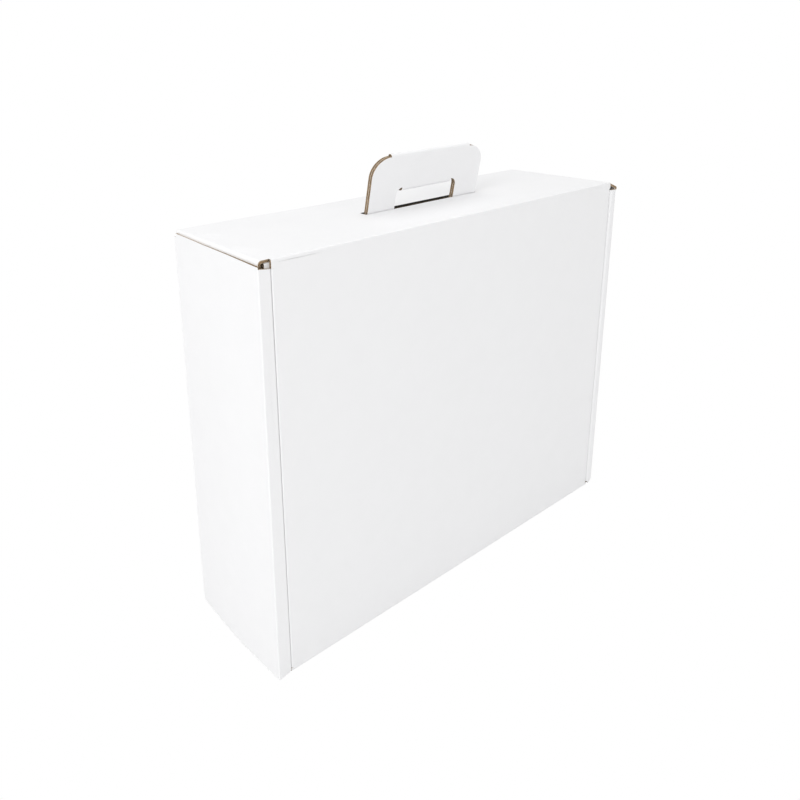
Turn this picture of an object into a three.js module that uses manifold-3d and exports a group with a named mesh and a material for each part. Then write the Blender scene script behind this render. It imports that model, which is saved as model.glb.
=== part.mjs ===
// A cardboard carry box, folded from one die-cut blank of white-lined fluted board.
// The lid, base, back, double top wall and handle are one strip of the blank, and the side walls roll over.
// Millimetres, +Z up. The lid panel faces -Y, and the origin is in the middle of the base.

import * as THREE from "three";
import { mergeVertices } from "three/addons/utils/BufferGeometryUtils.js";
import Module from "manifold-3d";

const wasm = await Module();
wasm.setup();

// Outside sizes of the closed box
const LENGTH = 400;
const DEPTH = 112;
const HEIGHT = 320;

// The board, the air between layers that lie together, and the inside radius of a fold
const BOARD = 1.6;
const LAYER_GAP = 0.4;
const FOLD_RADIUS = 0.15;
const FOLD_GAP = 0.3;

// The rolled side walls: the rim's width, and how far the outer wall and the rim stop below the top
const RIM_WIDTH = 10.6;
const SIDE_WALL_DROP = 2;
const RIM_DROP = 4;
const LOCK_TAB_LENGTH = 40;
const LOCK_TAB_SPACING = 160;
const LOCK_CLEARANCE = 0.3;

// Tucked flaps: how deep each goes in, how far it starts from the panel's ends, and how it narrows to its tip
const TOP_WING_DEPTH = 55;
const BASE_DUST_DEPTH = 95;
const TOP_DUST_DEPTH = 66;
const LID_WING_DEPTH = 52;
const LID_WING_END = 6;
const DUST_END = 5;
const FLAP_TAPER = 7;
const FLAP_CORNER = 9;

// The top flap's wings narrow more at the back, so that they swing up clear of the back panel, and they turn
// down on a softer fold than the rest
const WING_BACK_TAPER = 19;
const WING_FOLD_RADIUS = 1.4;

// The handle stands in the slot at mid depth and leans towards the lid
const HANDLE_WIDTH = 126;
const HANDLE_RISE = 46;
const HANDLE_SETBACK = 1;
const HANDLE_CORNER = 18;
const HANDLE_LEAN = 10;
const HANDLE_TONGUE = 10;
const TONGUE_INSET = 11;
const WINDOW_WIDTH = 69;
const WINDOW_RISE = 13.8;
const WINDOW_CORNER = 6;
const WINDOW_FOOT = 3.5; // how far the window is cut below the fold at the handle's foot
const GRIP_FLAP_LENGTH = 14;

// The slot in the top flap, and how much larger the slot in the wall below it is
const SLOT_WIDTH = 9.4;
const SLOT_FRONT_GAP = 2;
const SLOT_END_GAP = 2.2;
const INNER_SLOT_FRONT = 2.4;
const INNER_SLOT_BACK = 5.8;

const ARC_STEPS = 3;

// How far a cutting solid runs past the faces it cuts away, and past a face that another layer lies near
const PAST = 1;
const CLEAR = 0.1;

const WHITE_BOARD = { color: 0xf4f4f5, roughness: 0.72, metalness: 0 };

// Levels that the layers share
const LAYER = BOARD + LAYER_GAP;
const HALF = BOARD / 2;
const FRONT = -DEPTH / 2;
const BACK = DEPTH / 2;
const SIDE = LENGTH / 2;
const INNER_TOP = HEIGHT - LAYER;
const ROLLED_TOP = INNER_TOP - LAYER;
const SIDE_TOP = HEIGHT - SIDE_WALL_DROP;
const OUTER_FOLD = FOLD_RADIUS + BOARD;
const RIM_INSIDE = SIDE - RIM_WIDTH;
const LID_EDGE = RIM_INSIDE - LAYER_GAP;
const WING_EDGE = SIDE - LAYER;
const DUST_EDGE = WING_EDGE - LAYER;

// Where the handle stands: its front face crosses the top at HANDLE_SETBACK, and its foot's fold is at
// PIVOT_Y, level with ROLLED_TOP
const LEAN = THREE.MathUtils.degToRad(HANDLE_LEAN);
const PIVOT_DROP = HEIGHT - ROLLED_TOP;
const PIVOT_Y = HANDLE_SETBACK + PIVOT_DROP * Math.tan(LEAN);
const SLOT_FRONT = HANDLE_SETBACK - SLOT_FRONT_GAP;
const SLOT_BACK = SLOT_FRONT + SLOT_WIDTH;
const SLOT_HALF = HANDLE_WIDTH / 2 + SLOT_END_GAP;

const X = new THREE.Vector3(1, 0, 0);
const Y = new THREE.Vector3(0, 1, 0);
const Z = new THREE.Vector3(0, 0, 1);
const PLACED = {
  x: new THREE.Matrix4().makeBasis(Y, Z, X),
  y: new THREE.Matrix4().makeBasis(X, Z, Y.clone().negate()),
  z: new THREE.Matrix4(),
};

// A closed geometry as a solid that can be joined and cut.
function solidOf(geometry) {
  const bare = geometry.clone();
  bare.deleteAttribute("normal");
  bare.deleteAttribute("uv");
  const merged = mergeVertices(bare, 1e-4);
  return new wasm.Manifold(
    new wasm.Mesh({
      numProp: 3,
      vertProperties: merged.attributes.position.array,
      triVerts: new Uint32Array(merged.index.array),
    }),
  );
}

// A drawn outline pushed along an axis. It is drawn in (y, z) for x, in (x, z) for y and in (x, y) for z.
function prism(shape, axis, low, high) {
  const geometry = new THREE.ExtrudeGeometry(shape, {
    depth: high - low,
    bevelEnabled: false,
    curveSegments: ARC_STEPS,
  });
  geometry.translate(0, 0, axis === "y" ? -high : low);
  return solidOf(geometry.applyMatrix4(PLACED[axis]));
}

function polygon(points) {
  return new THREE.Shape(points.map(([a, b]) => new THREE.Vector2(a, b)));
}

// A block between two corners, given in either order.
function block(from, to) {
  const size = from.map((value, i) => Math.abs(to[i] - value));
  const middle = from.map((value, i) => (to[i] + value) / 2);
  return solidOf(new THREE.BoxGeometry(...size).translate(...middle));
}

// The section of a board whose middle line follows the points, folded round at each of them.
function boardSection(points, innerRadius = FOLD_RADIUS) {
  const line = points.map(([a, b]) => new THREE.Vector2(a, b));
  const radius = innerRadius + HALF;
  const heading = (i) => line[i + 1].clone().sub(line[i]).normalize();
  const leftOf = (v) => new THREE.Vector2(-v.y, v.x);
  const folds = [];
  for (let i = 1; i < line.length - 1; i += 1) {
    const before = heading(i - 1);
    const after = heading(i);
    const turn = Math.atan2(before.cross(after), before.dot(after));
    const way = Math.sign(turn);
    const start = line[i].clone().addScaledVector(before, -radius * Math.tan(Math.abs(turn) / 2));
    const centre = start.clone().addScaledVector(leftOf(before), way * radius);
    const angle = start.clone().sub(centre).angle();
    folds.push({ centre, angle, turn, way });
  }
  const ends = [
    { point: line[0], normal: leftOf(heading(0)) },
    { point: line[line.length - 1], normal: leftOf(heading(line.length - 2)) },
  ];
  const cap = (end, offset) => end.point.clone().addScaledVector(end.normal, offset);
  const shape = new THREE.Shape();
  shape.moveTo(...cap(ends[0], -HALF)); // an arc is joined on only to a path that has begun
  shape.lineTo(...cap(ends[0], HALF));
  for (const { centre, angle, turn, way } of folds) {
    shape.absarc(centre.x, centre.y, radius - way * HALF, angle, angle + turn, way < 0);
  }
  shape.lineTo(...cap(ends[1], HALF));
  shape.lineTo(...cap(ends[1], -HALF));
  for (const { centre, angle, turn, way } of folds.reverse()) {
    shape.absarc(centre.x, centre.y, radius + way * HALF, angle + turn, angle, way > 0);
  }
  return shape;
}

function joined(solids) {
  return solids.reduce((all, one) => all.add(one));
}

function cut(solid, tools) {
  return tools.reduce((left, tool) => left.subtract(tool), solid);
}

// The outline of a tucked flap that narrows from its root to a tip with two rounded corners.
function flapOutline([rootLow, rootHigh], root, [tipLow, tipHigh], tip) {
  const shape = new THREE.Shape();
  const low = new THREE.Vector2(tipLow, tip);
  const high = new THREE.Vector2(tipHigh, tip);
  const rounding = (corner, from, to) => {
    const back = from.clone().sub(corner).normalize();
    const on = to.clone().sub(corner).normalize();
    const reach = FLAP_CORNER / Math.tan(Math.acos(back.dot(on)) / 2);
    const start = corner.clone().addScaledVector(back, reach);
    const end = corner.clone().addScaledVector(on, reach);
    shape.lineTo(start.x, start.y);
    shape.quadraticCurveTo(corner.x, corner.y, end.x, end.y);
  };
  const lowRoot = new THREE.Vector2(rootLow, root);
  const highRoot = new THREE.Vector2(rootHigh, root);
  shape.moveTo(...lowRoot);
  shape.lineTo(...highRoot);
  rounding(high, highRoot, low);
  rounding(low, high, lowRoot);
  return shape;
}

const BOTH_SIDES = [-1, 1];

// The region on the top flap's side of the mitre where it folds from the lid panel.
function aboveMitre(shift) {
  const reach = 3 * BOARD;
  const inside = BOARD + LAYER_GAP;
  return polygon([
    [FRONT - reach, HEIGHT + reach + shift],
    [FRONT + inside, HEIGHT - inside + shift],
    [FRONT + inside, HEIGHT + reach + Math.abs(shift)],
  ]);
}

const MITRE_SHIFT = FOLD_GAP / Math.SQRT2;

// Lid panel, base, back panel, the wall under the top flap, and that wall's second layer, as one strip.
function mainStrip() {
  const lidY = FRONT + HALF;
  const backY = BACK - HALF;
  const noseY = FRONT + BOARD + LAYER_GAP + CLEAR + HALF;
  const section = boardSection([
    [FRONT + OUTER_FOLD + CLEAR, HEIGHT - HALF],
    [lidY, HEIGHT - HALF],
    [lidY, HALF],
    [backY, HALF],
    [backY, INNER_TOP - HALF],
    [noseY, INNER_TOP - HALF],
    [noseY, ROLLED_TOP - HALF],
    [PIVOT_Y - FOLD_GAP, ROLLED_TOP - HALF],
  ]);
  const strip = prism(section, "x", -SIDE, SIDE);
  const insideLid = FRONT + BOARD + LAYER_GAP;
  const rolledEdge = DUST_EDGE - LAYER;
  const tools = [prism(aboveMitre(-MITRE_SHIFT), "x", -SIDE - PAST, SIDE + PAST)];
  for (const s of BOTH_SIDES) {
    const out = s * (SIDE + PAST);
    const lidFold = s * (LID_EDGE - OUTER_FOLD);
    tools.push(
      block([s * LID_EDGE, FRONT - PAST, -PAST], [out, insideLid, HEIGHT + PAST]),
      block([lidFold, FRONT - PAST, LID_WING_END], [out, FRONT + BOARD + CLEAR, HEIGHT - LID_WING_END]),
      block([s * (WING_EDGE - OUTER_FOLD), FRONT - PAST, -PAST], [out, BACK + PAST, OUTER_FOLD]),
      block([s * (SIDE - OUTER_FOLD), FRONT - PAST, -PAST], [out, BACK + PAST, HEIGHT]),
      block([s * (DUST_EDGE - OUTER_FOLD), FRONT, INNER_TOP - OUTER_FOLD], [out, BACK + PAST, HEIGHT]),
      block([s * rolledEdge, insideLid, ROLLED_TOP - BOARD - CLEAR], [out, FRONT + DUST_END, HEIGHT]),
      block(
        [s * rolledEdge, FRONT + DUST_END, ROLLED_TOP - BOARD - CLEAR],
        [out, BACK - OUTER_FOLD, INNER_TOP - OUTER_FOLD],
      ),
    );
  }
  tools.push(
    block(
      [-SLOT_HALF, SLOT_FRONT - INNER_SLOT_FRONT, INNER_TOP - BOARD - CLEAR],
      [SLOT_HALF, SLOT_BACK + INNER_SLOT_BACK, INNER_TOP + CLEAR],
    ),
  );
  return cut(strip, tools);
}

// One side wall: from the back panel's edge, round the rim and back inside. Tabs lock it in the back panel.
function sideWall(s) {
  const outerX = s * (SIDE - HALF);
  const innerX = s * (RIM_INSIDE + HALF);
  const innerEnd = BACK - BOARD - LOCK_CLEARANCE;
  const innerTop = ROLLED_TOP - BOARD - LAYER_GAP;
  const insideRim = FRONT + BOARD + CLEAR;
  const section = boardSection([
    [s * (SIDE - 2 * RIM_WIDTH), BACK - HALF],
    [outerX, BACK - HALF],
    [outerX, FRONT + HALF],
    [innerX, FRONT + HALF],
    [innerX, innerEnd],
  ]);
  const inward = s * (SIDE - 3 * RIM_WIDTH);
  const backInside = BACK - BOARD - CLEAR;
  const pocket = s * (SIDE - BOARD - CLEAR);
  const aboveRim = polygon([
    [s * (SIDE + PAST), HEIGHT - RIM_DROP],
    [s * SIDE, HEIGHT - RIM_DROP],
    [s * RIM_INSIDE, innerTop],
    [inward, innerTop],
    [inward, HEIGHT],
    [s * (SIDE + PAST), HEIGHT],
  ]);
  return cut(prism(section, "z", 0, SIDE_TOP), [
    prism(aboveRim, "y", FRONT - PAST, insideRim),
    block([pocket, insideRim, innerTop], [inward, innerEnd + CLEAR, HEIGHT]),
    block([pocket, insideRim, -PAST], [inward, innerEnd + CLEAR, LAYER]),
    block([s * (WING_EDGE - OUTER_FOLD), backInside, -PAST], [inward, BACK + PAST, OUTER_FOLD]),
    block([s * (DUST_EDGE - OUTER_FOLD), backInside, INNER_TOP - OUTER_FOLD], [inward, BACK + PAST, HEIGHT]),
  ]);
}

// The openings in the back panel that a side's inner wall locks into, and its tabs.
function lockPlaces(s) {
  const places = BOTH_SIDES.map((side) => HEIGHT / 2 + (side * LOCK_TAB_SPACING) / 2);
  const place = (middle, grow, from, to) =>
    block(
      [s * (RIM_INSIDE - grow), from, middle - LOCK_TAB_LENGTH / 2 - grow],
      [s * (RIM_INSIDE + BOARD + grow), to, middle + LOCK_TAB_LENGTH / 2 + grow],
    );
  return places.map((middle) => ({
    slot: place(middle, LOCK_CLEARANCE, BACK - BOARD - CLEAR, BACK + PAST),
    tab: place(middle, 0, BACK - 2 * BOARD, BACK - CLEAR),
  }));
}

// The sideways outline of a dust flap, as a solid across the box.
function dustOutline(root, tip) {
  const low = FRONT + DUST_END;
  const high = BACK - DUST_END;
  return prism(flapOutline([low, high], root, [low + FLAP_TAPER, high - FLAP_TAPER], tip), "x", -SIDE, SIDE);
}

// A flap folded up from an end of the base, inside the side wall.
function baseDustFlap(s) {
  const x = s * (WING_EDGE - HALF);
  const section = boardSection([
    [s * (SIDE - 2 * RIM_WIDTH), HALF],
    [x, HALF],
    [x, BASE_DUST_DEPTH],
  ]);
  return prism(section, "y", FRONT, BACK).intersect(dustOutline(-PAST, BASE_DUST_DEPTH));
}

// A flap folded down from an end of the wall under the top flap.
function topDustFlap(s) {
  const x = s * (DUST_EDGE - HALF);
  const tip = INNER_TOP - TOP_DUST_DEPTH;
  const section = boardSection([
    [s * (SIDE - 2 * RIM_WIDTH), INNER_TOP - HALF],
    [x, INNER_TOP - HALF],
    [x, tip],
  ]);
  return prism(section, "y", FRONT, BACK).intersect(dustOutline(HEIGHT, tip));
}

// A flap folded back from a side of the lid panel, tucked inside the side's inner wall.
function lidWing(s) {
  const x = s * (LID_EDGE - HALF);
  const tip = FRONT + LID_WING_DEPTH;
  const section = boardSection([
    [s * (SIDE - 3 * RIM_WIDTH), FRONT + HALF],
    [x, FRONT + HALF],
    [x, tip],
  ]);
  const low = LID_WING_END;
  const high = HEIGHT - LID_WING_END;
  const outline = flapOutline([low, high], FRONT - PAST, [low + FLAP_TAPER, high - FLAP_TAPER], tip);
  const swapYZ = [0, 1, -1];
  return prism(section, "z", low, high).intersect(prism(outline, "x", -SIDE, SIDE).mirror(swapYZ));
}

function cartonSolid() {
  const locks = BOTH_SIDES.flatMap(lockPlaces);
  const folded = joined([
    mainStrip(),
    ...BOTH_SIDES.flatMap((s) => [sideWall(s), baseDustFlap(s), topDustFlap(s), lidWing(s)]),
  ]);
  const slotted = cut(folded, locks.map((lock) => lock.slot));
  return joined([slotted, ...locks.map((lock) => lock.tab)]);
}

// The outer top: folded back from the lid panel over the handle, with a wing tucked in at each end.
function topFlapSolid() {
  const x = WING_EDGE - HALF;
  const wingTip = HEIGHT - TOP_WING_DEPTH;
  const front = FRONT + BOARD + LAYER_GAP;
  const back = BACK - FOLD_GAP;
  const section = boardSection(
    [
      [-x, wingTip],
      [-x, HEIGHT - HALF],
      [x, HEIGHT - HALF],
      [x, wingTip],
    ],
    WING_FOLD_RADIUS,
  );
  const panel = prism(section, "y", front, back);
  const foldSection = boardSection([
    [FRONT + HALF, HEIGHT - 3 * OUTER_FOLD],
    [FRONT + HALF, HEIGHT - HALF],
    [front + 2 * BOARD, HEIGHT - HALF],
  ]);
  const lip = prism(foldSection, "x", -LID_EDGE, LID_EDGE);
  const keptLip = joined([
    lip.intersect(prism(aboveMitre(MITRE_SHIFT), "x", -SIDE, SIDE)),
    lip.intersect(block([-SIDE, front - CLEAR, HEIGHT - BOARD], [SIDE, front + 2 * BOARD, HEIGHT])),
  ]);
  const wingBack = BACK - BOARD - LAYER_GAP;
  const wingRoot = HEIGHT - BOARD;
  const wings = prism(
    flapOutline([front, wingBack], wingRoot, [front + FLAP_TAPER, wingBack - WING_BACK_TAPER], wingTip),
    "x", -SIDE, SIDE,
  );
  const above = block([-SIDE, FRONT, wingRoot], [SIDE, BACK, HEIGHT + PAST]);
  return cut(joined([panel.intersect(joined([wings, above])), keptLip]), [
    block([-SLOT_HALF, SLOT_FRONT, HEIGHT - BOARD - PAST], [SLOT_HALF, SLOT_BACK, HEIGHT + PAST]),
  ]);
}

// A plate outline that is wide at the bottom and round at its two top corners.
function roundTopped(width, bottom, top, corner) {
  const half = width / 2;
  const shape = new THREE.Shape();
  shape.moveTo(-half, bottom);
  shape.lineTo(half, bottom);
  shape.absarc(half - corner, top - corner, corner, 0, Math.PI / 2, false);
  shape.absarc(corner - half, top - corner, corner, Math.PI / 2, Math.PI, false);
  return shape;
}

// The handle, upright: two layers folded at the top, with the window's flap wrapped round the rear layer.
// It is drawn from its base fold: y goes back from the front face, and z goes up the handle.
function handleSolid() {
  const alongLean = (rise) => (rise + PIVOT_DROP) / Math.cos(LEAN);
  const top = alongLean(HANDLE_RISE);
  const gripEdge = alongLean(WINDOW_RISE);
  const gripRadius = LAYER_GAP + 0.7;
  const section = boardSection([
    [HALF, FOLD_GAP],
    [HALF, top - HALF],
    [HALF + LAYER, top - HALF],
    [HALF + LAYER, -HANDLE_TONGUE],
  ]);
  const outline = prism(roundTopped(HANDLE_WIDTH, FOLD_GAP, top, HANDLE_CORNER), "y", -PAST, 4 * BOARD);
  const tongue = polygon([
    [-HANDLE_WIDTH / 2 + TONGUE_INSET, -HANDLE_TONGUE],
    [HANDLE_WIDTH / 2 - TONGUE_INSET, -HANDLE_TONGUE],
    [HANDLE_WIDTH / 2, FOLD_GAP],
    [-HANDLE_WIDTH / 2, FOLD_GAP],
  ]);
  const plate = prism(section, "x", -HANDLE_WIDTH / 2, HANDLE_WIDTH / 2).intersect(
    joined([outline, prism(tongue, "y", -PAST, 4 * BOARD)]),
  );
  const windowTop = gripEdge + BOARD + gripRadius + LAYER_GAP;
  const windowShape = roundTopped(WINDOW_WIDTH, -WINDOW_FOOT, windowTop, WINDOW_CORNER);
  const bendZ = gripEdge + HALF;
  const gripSection = boardSection(
    [
      [HALF, windowTop + BOARD],
      [HALF, bendZ],
      [HALF + 2 * LAYER, bendZ],
      [HALF + 2 * LAYER, bendZ + GRIP_FLAP_LENGTH],
    ],
    gripRadius,
  );
  const gripHalf = WINDOW_WIDTH / 2 - WINDOW_CORNER;
  return joined([
    cut(plate, [prism(windowShape, "y", -PAST, 4 * BOARD)]),
    prism(gripSection, "x", -gripHalf, gripHalf),
  ]);
}

// A solid as a named mesh with flat facets.
function meshOf(name, solid) {
  const { numProp, vertProperties, triVerts } = solid.getMesh();
  const positions = new Float32Array((vertProperties.length / numProp) * 3);
  for (let i = 0; i < positions.length / 3; i += 1) {
    positions.set(vertProperties.subarray(i * numProp, i * numProp + 3), i * 3);
  }
  const geometry = new THREE.BufferGeometry()
    .setAttribute("position", new THREE.BufferAttribute(positions, 3))
    .setIndex(new THREE.BufferAttribute(triVerts, 1))
    .toNonIndexed();
  geometry.computeVertexNormals();
  const mesh = new THREE.Mesh(geometry, new THREE.MeshStandardMaterial(WHITE_BOARD));
  mesh.name = name;
  return mesh;
}

const carryBox = new THREE.Group();
carryBox.add(meshOf("carton", cartonSolid()));
carryBox.add(meshOf("top_flap", topFlapSolid()));

const handle = meshOf("handle", handleSolid());
handle.position.set(0, PIVOT_Y, ROLLED_TOP);
handle.rotation.x = LEAN;
carryBox.add(handle);

export default carryBox;
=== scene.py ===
"""Dresses the cardboard carry box: every panel as two paper liners with the fluted layer between them."""

import math

import bpy
import numpy as np
from mathutils import Matrix, Vector, geometry


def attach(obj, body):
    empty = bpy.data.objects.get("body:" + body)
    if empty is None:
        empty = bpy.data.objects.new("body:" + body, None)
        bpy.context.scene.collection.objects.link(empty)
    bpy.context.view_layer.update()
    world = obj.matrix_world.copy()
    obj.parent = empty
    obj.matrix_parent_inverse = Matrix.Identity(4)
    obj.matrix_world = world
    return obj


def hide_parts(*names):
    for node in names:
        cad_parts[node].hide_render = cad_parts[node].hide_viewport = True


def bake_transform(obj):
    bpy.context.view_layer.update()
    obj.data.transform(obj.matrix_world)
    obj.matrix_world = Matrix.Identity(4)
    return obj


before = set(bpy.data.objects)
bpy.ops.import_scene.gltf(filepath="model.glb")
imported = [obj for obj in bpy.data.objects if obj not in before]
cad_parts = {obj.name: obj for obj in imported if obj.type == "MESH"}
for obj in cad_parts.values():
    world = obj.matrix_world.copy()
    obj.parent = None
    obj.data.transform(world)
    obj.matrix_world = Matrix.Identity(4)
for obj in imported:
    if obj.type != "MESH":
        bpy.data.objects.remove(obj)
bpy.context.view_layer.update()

# Millimetres. Sizes are the CAD model's, apart from the board, which is as thick as the photographed cut
# edges look, and the handle's lean. The folded sheet is drawn flat and then folded.
MM = 0.001
LENGTH, DEPTH, HEIGHT = 400.0, 112.0, 320.0
BOARD, LAYER_GAP, FOLD_RADIUS, FOLD_GAP = 2.0, 0.4, 0.15, 0.3
RIM_WIDTH, SIDE_WALL_DROP, RIM_DROP = 10.6, 2.0, 4.0
LOCK_TAB_LENGTH, LOCK_TAB_SPACING, LOCK_CLEARANCE = 40.0, 160.0, 0.3
TOP_WING_DEPTH, BASE_DUST_DEPTH, TOP_DUST_DEPTH, LID_WING_DEPTH = 55.0, 95.0, 66.0, 52.0
LID_WING_END, DUST_END, FLAP_TAPER, FLAP_CORNER = 6.0, 5.0, 7.0, 9.0
WING_BACK_TAPER, NOSE_GAP = 19.0, 0.1
HANDLE_WIDTH, HANDLE_RISE, HANDLE_SETBACK, HANDLE_CORNER = 126.0, 46.0, 1.0, 18.0
HANDLE_TONGUE, TONGUE_INSET = 10.0, 11.0
WINDOW_WIDTH, WINDOW_RISE, WINDOW_CORNER, WINDOW_FOOT = 69.0, 13.8, 6.0, 3.5
GRIP_FLAP_LENGTH, GRIP_SPARE = 14.0, 0.7
SLOT_WIDTH, SLOT_FRONT_GAP, SLOT_END_GAP, INNER_SLOT_FRONT, INNER_SLOT_BACK = 9.4, 2.0, 2.2, 2.4, 5.8
LEAN = math.radians(11.2)

HALF = BOARD / 2
LAYER = BOARD + LAYER_GAP
OUTER_FOLD = FOLD_RADIUS + BOARD
FRONT, BACK, SIDE = -DEPTH / 2, DEPTH / 2, LENGTH / 2
INNER_TOP = HEIGHT - LAYER
ROLLED_TOP = INNER_TOP - LAYER
SIDE_TOP = HEIGHT - SIDE_WALL_DROP
RIM_TOP = HEIGHT - RIM_DROP
RIM_INSIDE = SIDE - RIM_WIDTH
INNER_WALL_TOP = ROLLED_TOP - LAYER
LID_EDGE = RIM_INSIDE - LAYER_GAP
LID_FOLD = LID_EDGE - OUTER_FOLD
WING_EDGE = SIDE - LAYER
DUST_EDGE = WING_EDGE - LAYER
BACK_FOLD = SIDE - OUTER_FOLD
PIVOT_DROP = HEIGHT - ROLLED_TOP
PIVOT_Y = HANDLE_SETBACK + PIVOT_DROP * math.tan(LEAN)
SLOT_FRONT = HANDLE_SETBACK - SLOT_FRONT_GAP
SLOT_BACK = SLOT_FRONT + SLOT_WIDTH
HANDLE_HALF, WINDOW_HALF = HANDLE_WIDTH / 2, WINDOW_WIDTH / 2
SLOT_HALF = HANDLE_HALF + SLOT_END_GAP
LOCK_MIDDLES = [HEIGHT / 2 + way * LOCK_TAB_SPACING / 2 for way in (-1, 1)]
lid_y, back_y = FRONT + HALF, BACK - HALF

# Where the photographed box departs from the plain one. Its handle and slot sit off centre, the handle's
# layers lie close, and the slot fits the handle more closely.
HANDLE_SHIFT = 2.6
HANDLE_LAYER = 2.12
SLOT_LEFT_GAP, SLOT_RIGHT_GAP = 1.7, 0.5
SLOT_LEFT = HANDLE_SHIFT - HANDLE_HALF - SLOT_LEFT_GAP
SLOT_RIGHT = HANDLE_SHIFT + HANDLE_HALF + SLOT_RIGHT_GAP
SLOT_NEAR = 0.6
HANDLE_LEGS = [HANDLE_SHIFT + t for t in (HANDLE_HALF, WINDOW_HALF, -WINDOW_HALF, -HANDLE_HALF)]

# Cut edges this near the slot lie in its shade, which is painted on them as a near-black colour
SLOT_MARGIN = 1

# The rims: heights on the left, heights and fold radii on the right, where the rim is cut lower, and the size
# of the right rim's rounded lower corner
LEFT_RIM_TOP, LEFT_RIM_INNER_TOP, LEFT_WALL_TOP = RIM_TOP - 0.7, RIM_TOP - 1.8, SIDE_TOP - 1.3
RIGHT_WALL_TOP, RIGHT_RIM_TOP = HEIGHT - 5.5, HEIGHT - 8.0
RIGHT_RIM_RADII = (FOLD_RADIUS + HALF, 1.2 + HALF, 1.6 + HALF)
RIGHT_CORNER_RISE, RIGHT_CORNER_REACH = 4.0, 3.0
RIGHT_CORNER_POINTS = (-7, -4.5, -2.5, -1, 0, 1, 2.5, 4.5)

# Where the heights change along the sheet: at the foot past the inner fold, on the inner wall past the same
# place, and on the right also before the rim's middle
FOOT_STEP_START, FOOT_STEP = 0.3, 0.6
LEFT_INNER_SLOPE, RIGHT_INNER_SLOPE, RIGHT_OUTER_SLOPE = 4, (5, 14), (2, 16)

# The lid panel: its right edge leaves a wider gap, and its foot closes the gap below the wings
LID_RIGHT, LID_FOOT_EDGE, LID_WING_LOW = LID_EDGE - 1.2, LID_EDGE + 0.6, BOARD + 0.6

# The top flap's folds at its ends: how far each bulges past the wing, how far below the top it is back in
# line, and on the right how far inside the lid's edge and how deep the flap turns down first
LEFT_BULGE, LEFT_TUCK, LEFT_WING_ROOT = 0.9, 8.0, 12.0
RIGHT_BULGE, RIGHT_TUCK, RIGHT_WING_ROOT = 3.2, 13.0, 20.0
RIGHT_TURN_IN, RIGHT_TURN_DROP = 2.0, 7.5
FLAP_RADII = (4, 1.1 + HALF, 6, 1.2 + HALF, 3)

# How far the two creases that cross a joint reach onto their panels
CREASE_REACH = 2.5
FOOT_BACK, FOOT_RISE = 1.8, 1.2
crease_back = FRONT + CREASE_REACH

# The board's layers: paper thickness, and the flutes' pitch, paper and modelled depth
LINER = 0.24
MEDIUM = 0.2
PITCH = 4.2
FLUTE_DEPTH = 1.6
WAVE_STEP = PITCH / 8

# The mesh: lengths of outline edges and of cells, rows in an arc and beside it, how far grid points keep from
# a row, the distance within which two places on the sheet are the same, how far rows reach past the outline,
# and a shift that keeps the inside test off the outline
OUTLINE_STEP, CELL, FINE_CELL = 7.0, 14.0, 8.0
ARC_STEPS, BESIDE_ARC = 10, (0.3, 1.2)
ROW_CLEARANCE, SAME = 0.5, 0.02
ROW_OVERHANG, MERGE, OFF_GRID = 1, 1e-4, (0.013, 0.017)
CORNER_POINTS = 9

# How square a fold is: 2 is round, and more is sharper
ROUND, CREASED = 2, 7

# The materials' places on a board; the last is painted shade, a near-black colour for cut edges in the slot
FACE, CUT, FLUTE, PAINTED_SHADE = 0, 1, 2, 3

# The flat axes that the flutes can repeat along
ALONG, ACROSS = 0, 1


def in_yz(a, b, t):
    return np.stack([t, a, b], 1)


def in_xy(a, b, t):
    return np.stack([a, b, t], 1)


def in_xz(a, b, t):
    return np.stack([a, t, b], 1)


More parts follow.
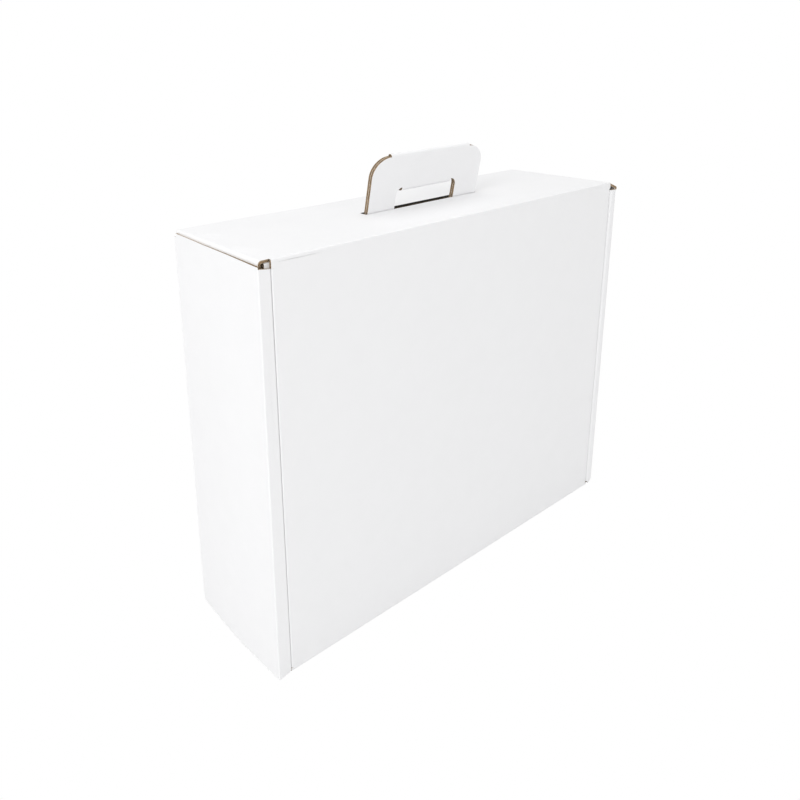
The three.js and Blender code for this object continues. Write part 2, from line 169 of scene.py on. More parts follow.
class Fold:
    """The middle line of a folded board: straight runs with an arc at each corner point."""

    def __init__(self, points, place, radius=FOLD_RADIUS + HALF, sharpness=CREASED):
        radii = radius if isinstance(radius, tuple) else [radius] * (len(points) - 2)
        self.place = place
        self.sharpness = sharpness
        self.parts = []
        line = [np.array(p, float) for p in points]
        here, s = line[0], 0.0
        for i in range(1, len(line)):
            ahead = line[i] - line[i - 1]
            ahead = ahead / np.linalg.norm(ahead)
            last = i == len(line) - 1
            trim = 0.0
            if not last:
                after = line[i + 1] - line[i]
                after = after / np.linalg.norm(after)
                turn = math.atan2(ahead[0] * after[1] - ahead[1] * after[0], float(ahead @ after))
                bend_radius = radii[i - 1]
                trim = bend_radius * math.tan(abs(turn) / 2)
            stop = line[i] - ahead * trim
            length = float((stop - here) @ ahead)
            self.parts.append(("run", s, s + length, here, ahead))
            s += length
            if not last:
                left = np.array([-ahead[1], ahead[0]])
                centre = stop + left * math.copysign(bend_radius, turn)
                angle = math.atan2(stop[1] - centre[1], stop[0] - centre[0])
                sweep = bend_radius * abs(turn)
                self.parts.append(("arc", s, s + sweep, centre, (angle, turn, bend_radius)))
                s += sweep
                here = line[i] + after * trim
        self.length = s

    def s(self, run, a=None, b=None):
        """How far along the sheet a coordinate lies, on one of its straight runs."""
        _, s0, _, start, ahead = [p for p in self.parts if p[0] == "run"][run]
        i, value = (0, a) if a is not None else (1, b)
        return s0 + (value - start[i]) / ahead[i]

    def arc(self, corner):
        """Where a corner's arc starts and ends along the sheet."""
        found = [p for p in self.parts if p[0] == "arc"][corner]
        return found[1], found[2]

    def lines(self):
        """Where the mesh needs a row of vertices, so that arcs are round and runs stay flat."""
        rows = []
        for kind, s0, s1, _, _ in self.parts:
            if kind == "arc":
                rows += list(np.linspace(s0, s1, ARC_STEPS + 1))
                rows += [s0 - beside for beside in BESIDE_ARC] + [s1 + beside for beside in BESIDE_ARC]
        return [r for r in rows if SAME < r < self.length - SAME]

    def at(self, s, t, w):
        """Points in space for places along, across and through the sheet."""
        out = np.zeros((len(s), 2))
        for i, (kind, s0, s1, base, more) in enumerate(self.parts):
            low = -math.inf if i == 0 else s0
            high = math.inf if i == len(self.parts) - 1 else s1
            m = (s >= low) & (s <= high)
            if kind == "run":
                normal = np.array([-more[1], more[0]])
                out[m] = base + np.outer(s[m] - s0, more) + np.outer(w[m], normal)
            else:
                angle, turn, radius = more
                way = math.copysign(1, turn)
                along = (s[m] - s0) / radius
                a = angle + along * way
                k = self.sharpness
                towards = np.clip(np.cos(along), 0, 1) ** k + np.clip(np.cos(abs(turn) - along), 0, 1) ** k
                r = (radius - w[m] * way) * towards ** (-1 / k)
                out[m] = base + np.stack([np.cos(a), np.sin(a)], 1) * r[:, None]
        return self.place(out[:, 0], out[:, 1], t)


def inside(points, loops):
    """Which points lie in the region, holes left out."""
    x, y = points[:, 0], points[:, 1]
    odd = np.zeros(len(points), bool)
    for loop in loops:
        for (x0, y0), (x1, y1) in zip(loop, np.roll(loop, -1, 0)):
            if y0 != y1:
                odd ^= ((y0 > y) != (y1 > y)) & (x < (x1 - x0) * (y - y0) / (y1 - y0) + x0)
    return odd


def dense(loop):
    """An outline with its long edges split, so that they follow the panel's bow."""
    corners = np.array(loop, float)
    out = []
    for start, end in zip(corners, np.roll(corners, -1, 0)):
        pieces = max(1, int(math.ceil(np.linalg.norm(end - start) / OUTLINE_STEP)))
        out += [start + (end - start) * i / pieces for i in range(pieces)]
    return np.array(out)


def triangulate(fold, loops, cell):
    """Triangles over a flat outline, with rows of vertices at the folds and a grid between."""
    loops = [dense(loop) for loop in loops]
    low, high = loops[0].min(0), loops[0].max(0)
    points, edges = [], []
    for loop in loops:
        n0 = len(points)
        points += [Vector(p) for p in loop]
        edges += [(n0 + i, n0 + (i + 1) % len(loop)) for i in range(len(loop))]
    for row in fold.lines():
        if low[0] < row < high[0]:
            points += [Vector((row, low[1] - ROW_OVERHANG)), Vector((row, high[1] + ROW_OVERHANG))]
            edges.append((len(points) - 2, len(points) - 1))
    steps = [np.linspace(low[i], high[i], max(2, int((high[i] - low[i]) / cell) + 1)) for i in (0, 1)]
    grid = np.stack(np.meshgrid(*steps), -1).reshape(-1, 2)
    clear = np.ones(len(grid), bool)
    for row in fold.lines():
        clear &= np.abs(grid[:, 0] - row) > ROW_CLEARANCE
    grid = grid[clear & inside(grid + OFF_GRID, loops)]
    points += [Vector(p) for p in grid]
    verts, _, faces, *_ = geometry.delaunay_2d_cdt(points, edges, [], 0, MERGE, False)
    verts = np.array([tuple(v) for v in verts])
    faces = np.array([f for f in faces if len(f) == 3])
    faces = faces[inside(verts[faces].mean(1), loops)]
    used = np.unique(faces)
    renumber = np.zeros(len(verts), int)
    renumber[used] = np.arange(len(used))
    return verts[used], renumber[faces]


def border_edges(faces):
    """The edges that have one face."""
    found = {}
    for a, b, c in faces:
        for p, q in ((a, b), (b, c), (c, a)):
            key = (min(p, q), max(p, q))
            found[key] = None if key in found else (p, q)
    return np.array([edge for edge in found.values() if edge is not None])


class Skin:
    """Collects vertices, faces and their materials for one mesh."""

    def __init__(self):
        self.verts, self.faces, self.mats, self.n = [], [], [], 0

    def add(self, points, faces, mat):
        self.verts.append(np.asarray(points, float))
        self.faces += [tuple(int(i) + self.n for i in f) for f in faces]
        self.mats += [mat] * len(faces)
        self.n += len(points)

    def grid(self, rows, mat):
        """A surface through rows of points."""
        rows = np.asarray(rows)
        m, n = rows.shape[:2]
        quads = [
            (i * n + j, i * n + j + 1, (i + 1) * n + j + 1, (i + 1) * n + j)
            for i in range(m - 1) for j in range(n - 1)
        ]
        self.add(rows.reshape(-1, 3), quads, mat)

    def object(self, name, transform=None):
        mesh = bpy.data.meshes.new(name)
        points = np.concatenate(self.verts)
        if transform is not None:
            points = transform(points)
        mesh.from_pydata((settled(points) * MM).tolist(), [], self.faces)
        for material in BOARD_MATERIALS:
            mesh.materials.append(material)
        mesh.polygons.foreach_set("material_index", np.array(self.mats, np.int32))
        mesh.polygons.foreach_set("use_smooth", np.ones(len(self.faces), bool))
        mesh.update()
        mesh.validate()
        obj = bpy.data.objects.new(name, mesh)
        bpy.context.scene.collection.objects.link(obj)
        return obj


def nowhere(s, t):
    return False


def board(skin, fold, loops, wave, seam=nowhere, painted_shade_at=nowhere, cell=CELL):
    """Adds a folded board: both liners, and at each cut edge the wave of the fluted layer between them.

    wave is the flat axis that the flutes repeat along. seam says where the sheet goes on in another piece,
    and painted_shade_at which edges lie in the dark of the slot and get its shade painted on as a near-black
    colour.
    """
    flat, faces = triangulate(fold, loops, cell)
    s, t = flat[:, 0], flat[:, 1]
    for w, mat, flip in (
        (HALF, FACE, False), (HALF - LINER, FLUTE, True),
        (LINER - HALF, FLUTE, False), (-HALF, FACE, True),
    ):
        points = fold.at(s, t, np.full(len(s), w))
        skin.add(points, faces[:, ::-1] if flip else faces, mat)
    borders = border_edges(faces)
    starts, alongs = flat[borders[:, 0]], flat[borders[:, 1]] - flat[borders[:, 0]]
    middles = starts + alongs / 2
    outs = np.stack([alongs[:, 1], -alongs[:, 0]], 1) / np.linalg.norm(alongs, axis=1)[:, None]
    outs[inside(middles + outs * SAME, [np.array(loop, float) for loop in loops])] *= -1
    for start, along, middle, out in zip(starts, alongs, middles, outs):
        if not seam(*middle):
            cut_face(skin, fold, start, along, out, wave, painted_shade_at(*middle))


def cut_face(skin, fold, start, along, out, wave, is_painted_shade):
    """One straight piece of cut edge: the liners' ends, and the wave that runs in from the cut."""
    # Edges in the slot's dark take painted shade, a near-black colour, on both their cut and their flutes
    cut, fluted = (PAINTED_SHADE, PAINTED_SHADE) if is_painted_shade else (CUT, FLUTE)
    pieces = max(1, int(math.ceil(abs(along[wave]) / WAVE_STEP)))
    cuts = start + np.outer(np.linspace(0, 1, pieces + 1), along)

    def line(places, w):
        return fold.at(places[:, 0], places[:, 1], np.zeros(len(places)) + w)

    for outer, inner in ((HALF, HALF - LINER), (LINER - HALF, -HALF)):
        skin.grid([line(cuts, outer), line(cuts, inner)], cut)
    crest = HALF - LINER - MEDIUM / 2
    layers = []
    for d in np.linspace(0, FLUTE_DEPTH, 2 + int(FLUTE_DEPTH * abs(out[wave]) / WAVE_STEP)):
        deep = cuts - out * d
        layers.append((deep, crest * np.sin(2 * math.pi * deep[:, wave] / PITCH)))
    for side in (-1, 1):
        skin.grid([line(deep, w + side * MEDIUM / 2) for deep, w in layers], fluted)
    skin.grid([line(cuts, layers[0][1] + side * MEDIUM / 2) for side in (-1, 1)], cut)
    # The crushed flutes close off behind the cut
    behind = cuts - out * FLUTE_DEPTH / 2
    skin.grid([line(behind, w) for w in (LINER - HALF, HALF - LINER)], fluted)


def oblong(s_range, t_range):
    (s0, s1), (t0, t1) = s_range, t_range
    return [(s0, t0), (s1, t0), (s1, t1), (s0, t1)]


def flipped(half):
    """The other half of an outline, from its half with t above zero."""
    return [(s, -t) for s, t in reversed(half)]


def tucked(root, tip, ends, tapers=(FLAP_TAPER, FLAP_TAPER)):
    """A tucked flap's outline, from its root at ends[0] round a tip with two rounded corners to ends[1]."""
    way = math.copysign(1, ends[1] - ends[0])
    corners = [
        (root, ends[0]), (tip, ends[0] + way * tapers[0]), (tip, ends[1] - way * tapers[1]), (root, ends[1]),
    ]
    corners = [np.array(c, float) for c in corners]
    loop = [tuple(corners[0])]
    for before, corner, after in zip(corners, corners[1:], corners[2:]):
        back = (before - corner) / np.linalg.norm(before - corner)
        on = (after - corner) / np.linalg.norm(after - corner)
        reach = FLAP_CORNER / math.tan(math.acos(back @ on) / 2)
        for u in np.linspace(0, 1, CORNER_POINTS):
            start, end = corner + back * reach, corner + on * reach
            loop.append(tuple((1 - u) ** 2 * start + 2 * u * (1 - u) * corner + u * u * end))
    return loop + [tuple(corners[3])]


def near(a, b):
    return abs(a - b) < SAME


def fade(value, start, end):
    """A smooth step, from 0 at start to 1 at end."""
    v = np.clip((value - start) / (end - start), 0, 1)
    return v * v * (3 - 2 * v)


# How far the panels have settled, in millimetres
SIDE_BOW, FRONT_BOW, LEFT_BOW, RIPPLE = 0.4, 0.5, 2.2, 0.05
RIGHT_OUT, LEFT_OUT = 1.5, 0.6
LEFT_RISE, RIGHT_DROOP, CORNER_LIFT = 1.4, 1.0, 1.3
SLANT_LEVEL, SLANT_RUN = 110, 210


def settled(points):
    """The box as it stands: panels bow and ripple a little, and corners have shifted a millimetre or two."""
    x, y, z = points.T
    out = points.copy()
    upper, arch = fade(z, 220, 315), np.sin(math.pi * np.clip(z / HEIGHT, 0, 1))
    across, through = np.cos(math.pi * x / LENGTH), np.cos(math.pi * y / DEPTH)
    rear, left_end = fade(y, 0, BACK), fade(x, -150, -198)
    ripple = (
        np.sin(x / 17 + z / 29) + np.sin(z / 13 - x / 41 + 1.3) + np.sin(y / 11 + x / 23 + 0.4)
        + 0.6 * np.sin(x / 7.1 + y / 9.3 + z / 8.3)
    )
    # All panels bow outwards, and the left side wall most
    out[:, 0] += SIDE_BOW * x / SIDE * through * arch
    out[:, 0] -= LEFT_BOW * left_end * through * fade(z, HEIGHT - 10, HEIGHT - 100)
    out[:, 1] += FRONT_BOW * y / BACK * across * arch + RIPPLE * ripple * arch
    # The right end's upper part and the left end's upper front lean out, and the lid's left edge slants
    out[:, 0] += RIGHT_OUT * fade(x, 150, SIDE) * upper - LEFT_OUT * left_end * upper * fade(y, 0, FRONT)
    out[:, 0] -= fade(x, -150, -188) * fade(x, -SIDE, -191) * (z - SLANT_LEVEL) / SLANT_RUN
    # The top is higher at the left and lower at the right back, and the lid's lower left corner is lifted
    out[:, 2] += upper * (LEFT_RISE * fade(x, -60, -180) - RIGHT_DROOP * rear * fade(x, 90, 190))
    out[:, 2] += RIPPLE * ripple * upper
    lid_corner = fade(x, -40, -180) * fade(x, -SIDE, -190) * fade(z, 50, 0) * fade(y, 16.8, -39.2)
    out[:, 2] += CORNER_LIFT * lid_corner
    return out


def paper(name, colour, mottle, roughness, bump, fibre, cloud_scale):
    """Paper with faint clouding, a fibre grain and a slightly uneven surface."""
    mat = bpy.data.materials.new(name)
    mat.use_nodes = True
    nodes, links = mat.node_tree.nodes, mat.node_tree.links
    bsdf = nodes["Principled BSDF"]
    where = nodes.new("ShaderNodeTexCoord")
    cloud = nodes.new("ShaderNodeTexNoise")
    cloud.inputs["Scale"].default_value = cloud_scale
    cloud.inputs["Detail"].default_value = 5
    cloud.inputs["Roughness"].default_value = 0.6
    grain = nodes.new("ShaderNodeTexNoise")
    grain.inputs["Scale"].default_value = fibre
    grain.inputs["Detail"].default_value = 4
    links.new(where.outputs["Object"], cloud.inputs["Vector"])
    links.new(where.outputs["Object"], grain.inputs["Vector"])
    ramp = nodes.new("ShaderNodeValToRGB")
    ramp.color_ramp.elements[0].position = 0.3
    ramp.color_ramp.elements[1].position = 0.7
    ramp.color_ramp.elements[0].color = [c * (1 - mottle) for c in colour] + [1]
    ramp.color_ramp.elements[1].color = list(colour) + [1]
    links.new(cloud.outputs["Fac"], ramp.inputs["Fac"])
    links.new(ramp.outputs["Color"], bsdf.inputs["Base Color"])
    height = nodes.new("ShaderNodeBump")
    height.inputs["Strength"].default_value = bump
    height.inputs["Distance"].default_value = 0.0002
    links.new(grain.outputs["Fac"], height.inputs["Height"])
    links.new(height.outputs["Normal"], bsdf.inputs["Normal"])
    bsdf.inputs["Roughness"].default_value = roughness
    bsdf.inputs["Specular IOR Level"].default_value = 0.25
    return mat


# In the order of FACE, CUT, FLUTE and PAINTED_SHADE; the last is painted shade, a near-black colour for the
# cut edges in the slot's dark
BOARD_MATERIALS = [
    paper("white_liner", (0.885, 0.885, 0.892), 0.012, 0.62, 0.12, fibre=900, cloud_scale=55),
    paper("cut_edge", (0.58, 0.46, 0.33), 0.4, 0.85, 0.4, fibre=1500, cloud_scale=420),
    paper("kraft_inside", (0.52, 0.38, 0.24), 0.45, 0.85, 0.3, fibre=900, cloud_scale=500),
    # Painted shade: the slot's dark painted on its cut edges in place of their tan
    paper("painted_slot_shade", (0.05, 0.045, 0.04), 0.3, 0.85, 0.3, fibre=900, cloud_scale=300),
]


def add_strip(skin):
    """The long strip: lid panel, base, back, wall under the top flap, and its rolled part to the handle."""
    nose_y = FRONT + LAYER + NOSE_GAP + HALF
    strip = Fold(
        [
            (lid_y, HEIGHT - CREASE_REACH), (lid_y, HALF), (back_y, HALF),
            (back_y, INNER_TOP - HALF), (nose_y, INNER_TOP - HALF),
            (nose_y, ROLLED_TOP - HALF), (PIVOT_Y - FOOT_BACK, ROLLED_TOP - HALF),
        ],
        in_yz,
    )
    base_fold, top_fold = WING_EDGE - OUTER_FOLD, DUST_EDGE - OUTER_FOLD
    rolled_edge = DUST_EDGE - LAYER
    lid_top, lid_low = strip.s(0, b=HEIGHT - LID_WING_END), strip.s(0, b=LID_WING_LOW)
    base_front, base_back = strip.s(1, a=FRONT + DUST_END), strip.s(1, a=BACK - DUST_END)
    base_start = strip.s(1, a=FRONT + LAYER)
    back_low, back_high = strip.s(2, b=OUTER_FOLD), strip.s(2, b=INNER_TOP - OUTER_FOLD)
    top_back, top_front = strip.s(3, a=BACK - DUST_END), strip.s(3, a=FRONT + DUST_END)

    def side_outline(lid_edge):
        return [
            (0, lid_edge), (lid_top, lid_edge), (lid_top, LID_FOLD), (lid_low, LID_FOLD),
            (lid_low, LID_FOOT_EDGE), (base_start, LID_FOOT_EDGE),
            (base_start, WING_EDGE), (base_front, WING_EDGE), (base_front, base_fold),
            (base_back, base_fold), (base_back, WING_EDGE), (back_low, WING_EDGE), (back_low, BACK_FOLD),
            (back_high, BACK_FOLD), (back_high, top_fold), (top_front, top_fold),
            (top_front, rolled_edge), (strip.length, rolled_edge),
        ]

    handle_root = [(strip.length, t) for t in HANDLE_LEGS]
    outline = side_outline(LID_RIGHT) + handle_root + flipped(side_outline(LID_EDGE))
    slot_ends = SLOT_BACK + INNER_SLOT_BACK, SLOT_FRONT - INNER_SLOT_FRONT
    slot_rows = sorted(strip.s(3, a=y) for y in slot_ends)
    holes = [oblong(slot_rows, (-SLOT_HALF, SLOT_HALF))]
    reach = LOCK_TAB_LENGTH / 2 + LOCK_CLEARANCE
    for middle in LOCK_MIDDLES:
        for side in (-1, 1):
            edges = side * (RIM_INSIDE - LOCK_CLEARANCE), side * (RIM_INSIDE + BOARD + LOCK_CLEARANCE)
            rows = strip.s(2, b=middle - reach), strip.s(2, b=middle + reach)
            holes.append(oblong(rows, sorted(edges)))

    def seam(s, t):
        on_handle = WINDOW_HALF < abs(t - HANDLE_SHIFT) < HANDLE_HALF
        t = abs(t)
        return (
            near(s, 0) or near(s, strip.length) and on_handle
            or near(t, LID_FOLD) and lid_top < s < lid_low
            or near(t, base_fold) and base_front < s < base_back
            or near(t, BACK_FOLD) and back_low < s < back_high
            or near(t, top_fold) and top_back < s < top_front
        )

    def in_painted_slot_shade(s, t):
        # The opening under the slot, and the strip's end between the handle's legs: their cut edges get
        # painted shade
        beside = slot_rows[0] - SLOT_MARGIN < s < slot_rows[1] + SLOT_MARGIN
        return abs(t) < SLOT_HALF + SLOT_MARGIN and (beside or s > strip.length - SLOT_MARGIN)

    board(skin, strip, [outline, *holes], ALONG, seam, in_painted_slot_shade)


def add_side_wall(skin, side):
    """A side wall, over the rim and back inside, with the tabs that lock into the back panel."""
    wall = Fold(
        [
            (side * BACK_FOLD, back_y), (side * (SIDE - HALF), back_y), (side * (SIDE - HALF), lid_y),
            (side * (RIM_INSIDE + HALF), lid_y), (side * (RIM_INSIDE + HALF), BACK - BOARD - LOCK_CLEARANCE),
        ],
        in_xy, radius=RIGHT_RIM_RADII if side > 0 else FOLD_RADIUS + HALF,
        sharpness=ROUND if side > 0 else CREASED,
    )
    corner = wall.arc(0)[1]
    rim = sum(wall.arc(1)) / 2
    turn_in = wall.arc(2)[0] + FOOT_STEP_START
    end = wall.length
    tab_end = end + BOARD + LOCK_CLEARANCE
    outline = [(0, OUTER_FOLD), (corner, 0)]
    if side > 0:
        for d in RIGHT_CORNER_POINTS:
            outline.append((rim + d, RIGHT_CORNER_RISE * math.exp(-(d / RIGHT_CORNER_REACH) ** 2)))
    outline += [(turn_in, 0), (turn_in + FOOT_STEP, LAYER), (end, LAYER)]
    for middle in LOCK_MIDDLES:
        low, high = middle - LOCK_TAB_LENGTH / 2, middle + LOCK_TAB_LENGTH / 2
        outline += [(end, low), (tab_end, low), (tab_end, high), (end, high)]
    outline += [(end, INNER_WALL_TOP)]
    if side > 0:
        outline += [
            (turn_in + RIGHT_INNER_SLOPE[1], INNER_WALL_TOP), (turn_in + RIGHT_INNER_SLOPE[0], RIGHT_RIM_TOP),
            (rim - RIGHT_OUTER_SLOPE[0], RIGHT_RIM_TOP), (rim - RIGHT_OUTER_SLOPE[1], RIGHT_WALL_TOP),
            (corner, RIGHT_WALL_TOP),
        ]
    else:
        outline += [
            (turn_in + LEFT_INNER_SLOPE, INNER_WALL_TOP), (turn_in, LEFT_RIM_INNER_TOP), (rim, LEFT_RIM_TOP),
            (rim, LEFT_WALL_TOP), (corner, SIDE_TOP),
        ]
    outline += [(corner, INNER_TOP - OUTER_FOLD), (0, INNER_TOP - OUTER_FOLD)]
    board(skin, wall, [outline], ACROSS, lambda s, t: near(s, 0))


def add_lid_wing(skin, side):
    """The lid panel's wing, inside the inner wall."""
    x = side * (LID_EDGE - HALF)
    wing = Fold(
        [(side * LID_FOLD, lid_y), (x, lid_y), (x, FRONT + LID_WING_DEPTH)],
        in_xy, sharpness=ROUND if side > 0 else CREASED,
    )
    outline = tucked(0, wing.length, (LID_WING_LOW, HEIGHT - LID_WING_END))
    board(skin, wing, [outline], ACROSS, lambda s, t: near(s, 0))


def add_dust_flap(skin, side, edge, level, end):
    """A dust flap of the base or of the wall under the top flap."""
    x = side * (edge - HALF)
    dust_flap = Fold([(side * (edge - OUTER_FOLD), level), (x, level), (x, end)], in_xz)
    outline = tucked(0, dust_flap.length, (FRONT + DUST_END, BACK - DUST_END))
    board(skin, dust_flap, [outline], ACROSS, lambda s, t: near(s, 0))


def make_carton():
    """All that stays still: the long strip, the side walls, the lid panel's wings and the dust flaps."""
    skin = Skin()
    add_strip(skin)
    for side in (-1, 1):
        add_side_wall(skin, side)
        add_lid_wing(skin, side)
        add_dust_flap(skin, side, WING_EDGE, HALF, BASE_DUST_DEPTH)
        add_dust_flap(skin, side, DUST_EDGE, INNER_TOP - HALF, INNER_TOP - TOP_DUST_DEPTH)
    return skin.object("carton_board")


def make_top_flap():
    """The outer top with its two wings and its slot. On the right it turns down softly before its fold."""
    x = WING_EDGE - HALF
    wing_tip, top = HEIGHT - TOP_WING_DEPTH, HEIGHT - HALF
    flap = Fold(
        [
            (-x, wing_tip), (-x, HEIGHT - LEFT_TUCK), (-x - LEFT_BULGE, top), (LID_EDGE - RIGHT_TURN_IN, top),
            (SIDE + RIGHT_BULGE, HEIGHT - RIGHT_TURN_DROP), (x, HEIGHT - RIGHT_TUCK), (x, wing_tip),
        ],
        in_xz, radius=FLAP_RADII, sharpness=ROUND,
    )
    flap_front, flap_back, wing_back = FRONT + LAYER, BACK - FOLD_GAP, BACK - LAYER
    root_left, root_right = flap.s(0, b=HEIGHT - LEFT_WING_ROOT), flap.s(5, b=HEIGHT - RIGHT_WING_ROOT)
    lid_left, lid_right = flap.s(2, a=-LID_EDGE), flap.arc(2)[0]
    outline = (
        tucked(root_left, 0, (wing_back, flap_front), (WING_BACK_TAPER, FLAP_TAPER))
        + [(lid_left, flap_front), (lid_left, crease_back), (lid_right, crease_back), (lid_right, flap_front)]
        + tucked(root_right, flap.length, (flap_front, wing_back), (FLAP_TAPER, WING_BACK_TAPER))
        + [(root_right, flap_back), (root_left, flap_back)]
    )
    slot_hole = oblong((flap.s(2, a=SLOT_LEFT), flap.s(2, a=SLOT_RIGHT)), (SLOT_NEAR, SLOT_BACK))

    def seam(s, t):
        return near(t, crease_back) and lid_left < s < lid_right

    # The slot's own cut edges get painted shade, a near-black colour
    def in_painted_slot_shade(s, t):
        return lid_left < s < lid_right and -SLOT_MARGIN < t < SLOT_BACK + SLOT_MARGIN

    skin = Skin()
    board(skin, flap, [outline, slot_hole], ACROSS, seam, in_painted_slot_shade)
    return skin.object("top_flap_board")


def make_lid_crease():
    """The crease between the lid panel and the top flap."""
    bend = Fold([(lid_y, HEIGHT - CREASE_REACH), (lid_y, HEIGHT - HALF), (crease_back, HEIGHT - HALF)], in_yz)
    outline = oblong((0, bend.length), (-LID_EDGE, LID_RIGHT))
    skin = Skin()
    board(skin, bend, [outline], ALONG, lambda s, t: near(s, 0) or near(s, bend.length))
    return skin.object("lid_crease")


def leaned(points):
    """From the handle's own place at its base fold to the box's frame."""
    x, y, z = points.T
    return np.stack([
        x + HANDLE_SHIFT,
        PIVOT_Y + y * math.cos(LEAN) - z * math.sin(LEAN),
        ROLLED_TOP + y * math.sin(LEAN) + z * math.cos(LEAN),
    ], 1)


def up(rise):
    """The distance from the base fold, along the handle, of a height above the box's top."""
    return (rise + PIVOT_DROP) / math.cos(LEAN)


def rounded_end(at, low, high, half, corner, steps=14):
    """The corner where a plate's edge at t = half turns into its edge at s = at(high)."""
    return [
        (at(low) + (at(high) - at(low)) * math.sin(a), half - corner + corner * math.cos(a))
        for a in np.linspace(0, math.pi / 2, steps + 1)
    ]


def make_handle():
    """The handle's two layers over a round top fold, their window, and the window's flap wrapped behind."""
    top, grip_edge = up(HANDLE_RISE), up(WINDOW_RISE)
    grip_radius = LAYER_GAP + GRIP_SPARE
    window_top = grip_edge + BOARD + grip_radius + LAYER_GAP
    rear_y = HALF + HANDLE_LAYER
    layers = Fold(
        [(HALF, FOOT_RISE), (HALF, top - HALF), (rear_y, top - HALF), (rear_y, -HANDLE_TONGUE)],
        in_yz, radius=HANDLE_LAYER / 2, sharpness=ROUND,
    )

    def on_front(z):
        return layers.s(0, b=z)

    def on_rear(z):
        return layers.s(2, b=z)

    fold_start, fold_end = layers.arc(0)[0], layers.arc(1)[1]
    fold_height = top - HALF - HANDLE_LAYER / 2
    corner_front = rounded_end(on_front, top - HANDLE_CORNER, fold_height, HANDLE_HALF, HANDLE_CORNER)
    corner_rear = [(fold_start + fold_end - s, t) for s, t in reversed(corner_front)]
    grip_half = WINDOW_HALF - WINDOW_CORNER
    window_corner = [window_top - WINDOW_CORNER, window_top, WINDOW_HALF, WINDOW_CORNER]
    half_outline = (
        list(reversed(rounded_end(on_front, *window_corner))) + [(0, WINDOW_HALF), (0, HANDLE_HALF)]
        + corner_front + corner_rear
        + [(on_rear(FOLD_GAP), HANDLE_HALF), (on_rear(-HANDLE_TONGUE), HANDLE_HALF - TONGUE_INSET)]
    )
    half_window = [(on_rear(-WINDOW_FOOT), WINDOW_HALF)] + rounded_end(on_rear, *window_corner)

    def seam(s, t):
        return near(s, 0) or near(s, on_front(window_top)) and abs(t) < grip_half

    skin = Skin()
    loops = [half + flipped(half) for half in (half_outline, half_window)]
    board(skin, layers, loops, ALONG, seam, cell=FINE_CELL)
    grip_y = rear_y + LAYER
    grip = Fold(
        [
            (HALF, window_top), (HALF, grip_edge + HALF), (grip_y, grip_edge + HALF),
            (grip_y, grip_edge + HALF + GRIP_FLAP_LENGTH),
        ],
        in_yz, radius=grip_radius + HALF, sharpness=ROUND,
    )
    grip_outline = oblong((0, grip.length), (-grip_half, grip_half))
    board(skin, grip, [grip_outline], ALONG, lambda s, t: near(s, 0), cell=FINE_CELL)
    return skin.object("handle_board", leaned)


foot_end = leaned(np.array([[0, HALF, FOOT_RISE]]))[0]


def make_handle_crease():
    """The fold at the handle's foot, under the top flap: one on each side of the window."""
    foot_corner_y = PIVOT_Y + HALF * math.cos(LEAN) + (HALF + HALF * math.sin(LEAN)) * math.tan(LEAN)
    bend = Fold(
        [
            (PIVOT_Y - FOOT_BACK, ROLLED_TOP - HALF), (foot_corner_y, ROLLED_TOP - HALF),
            (foot_end[1], foot_end[2]),
        ],
        in_yz,
    )
    skin = Skin()
    for leg in (HANDLE_LEGS[:2], HANDLE_LEGS[2:]):
        outline = oblong((0, bend.length), sorted(leg))
        board(skin, bend, [outline], ALONG, lambda s, t: near(s, 0) or near(s, bend.length))
    return skin.object("handle_crease")


carton_board = make_carton()
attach(carton_board, "carton")
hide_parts("carton")

top_board = make_top_flap()
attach(top_board, "top_flap")
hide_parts("top_flap")

lid_crease = make_lid_crease()
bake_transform(lid_crease)

handle_board = make_handle()
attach(handle_board, "handle")
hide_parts("handle")

handle_crease = make_handle_crease()
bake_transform(handle_crease)

WHITE = (1, 1, 1, 1)
GROUND = 0.86
SKY_STRENGTH = 0.62


def ground_paper(name):
    """A matt pale ground that the camera sees as an even white."""
    mat = bpy.data.materials.new(name)
    mat.use_nodes = True
    nodes, links = mat.node_tree.nodes, mat.node_tree.links
    bsdf = nodes["Principled BSDF"]
    bsdf.inputs["Roughness"].default_value = 0.9
    speck = nodes.new("ShaderNodeTexNoise")
    speck.inputs["Scale"].default_value = 3
    ramp = nodes.new("ShaderNodeValToRGB")
    ramp.color_ramp.elements[0].color = [GROUND * 0.99] * 3 + [1]
    ramp.color_ramp.elements[1].color = [GROUND] * 3 + [1]
    links.new(speck.outputs["Fac"], ramp.inputs["Fac"])
    links.new(ramp.outputs["Color"], bsdf.inputs["Base Color"])
    glow = nodes.new("ShaderNodeEmission")
    glow.inputs["Color"].default_value = WHITE
    path = nodes.new("ShaderNodeLightPath")
    mix = nodes.new("ShaderNodeMixShader")
    links.new(path.outputs["Is Camera Ray"], mix.inputs[0])
    links.new(bsdf.outputs[0], mix.inputs[1])
    links.new(glow.outputs[0], mix.inputs[2])
    links.new(mix.outputs[0], nodes["Material Output"].inputs["Surface"])
    return mat


def make_sky():
    """An even soft light from all around, which the camera sees as white."""
    world = bpy.data.worlds.new("studio")
    bpy.context.scene.world = world
    world.use_nodes = True
    nodes, links = world.node_tree.nodes, world.node_tree.links
    sky = nodes["Background"]
    sky.inputs["Color"].default_value = WHITE
    sky.inputs["Strength"].default_value = SKY_STRENGTH
    seen = nodes.new("ShaderNodeBackground")
    seen.inputs["Color"].default_value = WHITE
    ray = nodes.new("ShaderNodeLightPath")
    pick = nodes.new("ShaderNodeMixShader")
    links.new(ray.outputs["Is Camera Ray"], pick.inputs[0])
    links.new(sky.outputs[0], pick.inputs[1])
    links.new(seen.outputs[0], pick.inputs[2])
    links.new(pick.outputs[0], nodes["World Output"].inputs["Surface"])


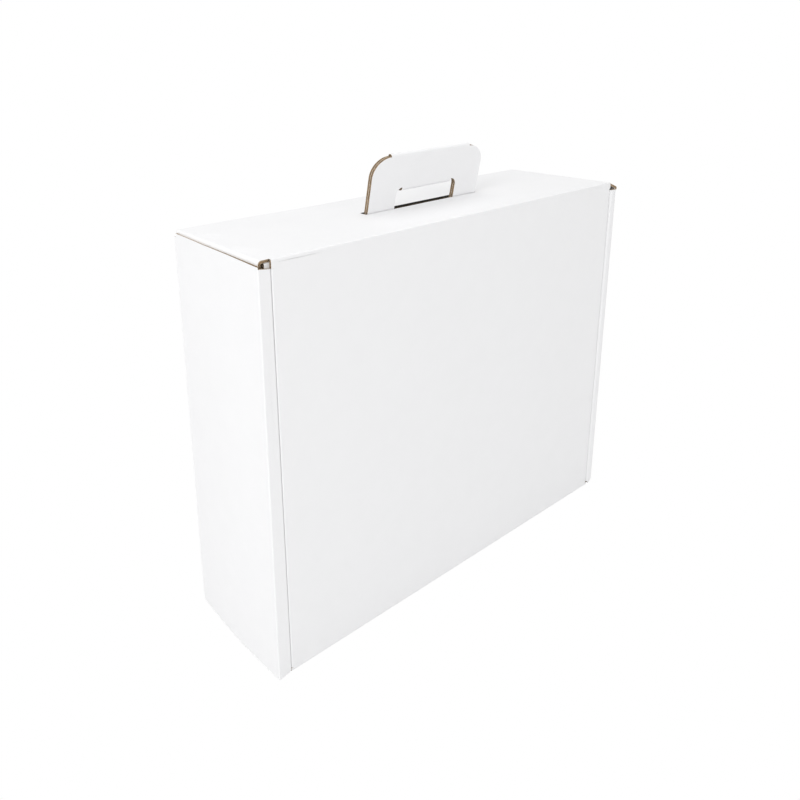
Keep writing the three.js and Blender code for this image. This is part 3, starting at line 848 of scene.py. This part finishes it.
def lamp(name, place, aim, size, power):
    data = bpy.data.lights.new(name, "AREA")
    data.shape = "RECTANGLE"
    data.size, data.size_y = size
    data.energy = power
    obj = bpy.data.objects.new(name, data)
    bpy.context.scene.collection.objects.link(obj)
    obj.location = place
    obj.rotation_euler = (Vector(aim) - Vector(place)).to_track_quat("-Z", "Y").to_euler()


bpy.ops.mesh.primitive_plane_add(size=12, location=(0, 0, 0))
floor = bpy.context.object
floor.name = "floor"
floor.data.materials.append(ground_paper("floor_paper"))

make_sky()
lamp("key_left", place=(-2.0, -0.7, 1.2), aim=(0, 0, 0.2), size=(0.9, 0.9), power=18)
lamp("top_soft", place=(0.1, 0.4, 2.4), aim=(0, 0, 0.3), size=(2.0, 2.0), power=17.5)
lamp("front_fill", place=(0.3, -2.3, 1.0), aim=(0, 0, 0.16), size=(1.6, 1.5), power=8)

# The camera, fitted to the box's corners in the photo: its place in metres, its angles in radians, and its
# focal length and centre in the photo's pixels
CAMERA_PLACE = (-0.43936, -0.43389, 0.45298)
CAMERA_YAW, CAMERA_PITCH, CAMERA_ROLL = -0.6731, -0.2816, 0.0213
PICTURE_PX, FOCAL_PX, CENTRE_X_PX, CENTRE_Y_PX = 800, 750.82, 336.38, 256.22
SENSOR = 36


def turn_matrix(yaw, pitch, roll):
    """Right, ahead and up as columns, turned from x, y and z."""
    cz, sz = math.cos(yaw), math.sin(yaw)
    cx, sx = math.cos(pitch), math.sin(pitch)
    cy, sy = math.cos(roll), math.sin(roll)
    rz = np.array([[cz, -sz, 0], [sz, cz, 0], [0, 0, 1]])
    rx = np.array([[1, 0, 0], [0, cx, -sx], [0, sx, cx]])
    ry = np.array([[cy, 0, sy], [0, 1, 0], [-sy, 0, cy]])
    return rz @ rx @ ry


def make_camera():
    data = bpy.data.cameras.new("camera")
    obj = bpy.data.objects.new("camera", data)
    bpy.context.scene.collection.objects.link(obj)
    turn = turn_matrix(CAMERA_YAW, CAMERA_PITCH, CAMERA_ROLL)
    pose = np.eye(4)
    pose[:3, 0], pose[:3, 1], pose[:3, 2] = turn[:, 0], turn[:, 2], -turn[:, 1]
    pose[:3, 3] = CAMERA_PLACE
    obj.matrix_world = Matrix(pose.tolist())
    data.sensor_width = SENSOR
    data.lens = SENSOR * FOCAL_PX / PICTURE_PX
    data.shift_x = (PICTURE_PX / 2 - CENTRE_X_PX) / PICTURE_PX
    data.shift_y = (CENTRE_Y_PX - PICTURE_PX / 2) / PICTURE_PX
    data.clip_start, data.clip_end = 0.01, 50
    return obj


camera = make_camera()
bpy.context.scene.camera = camera
bpy.context.scene.view_settings.view_transform = "Standard"
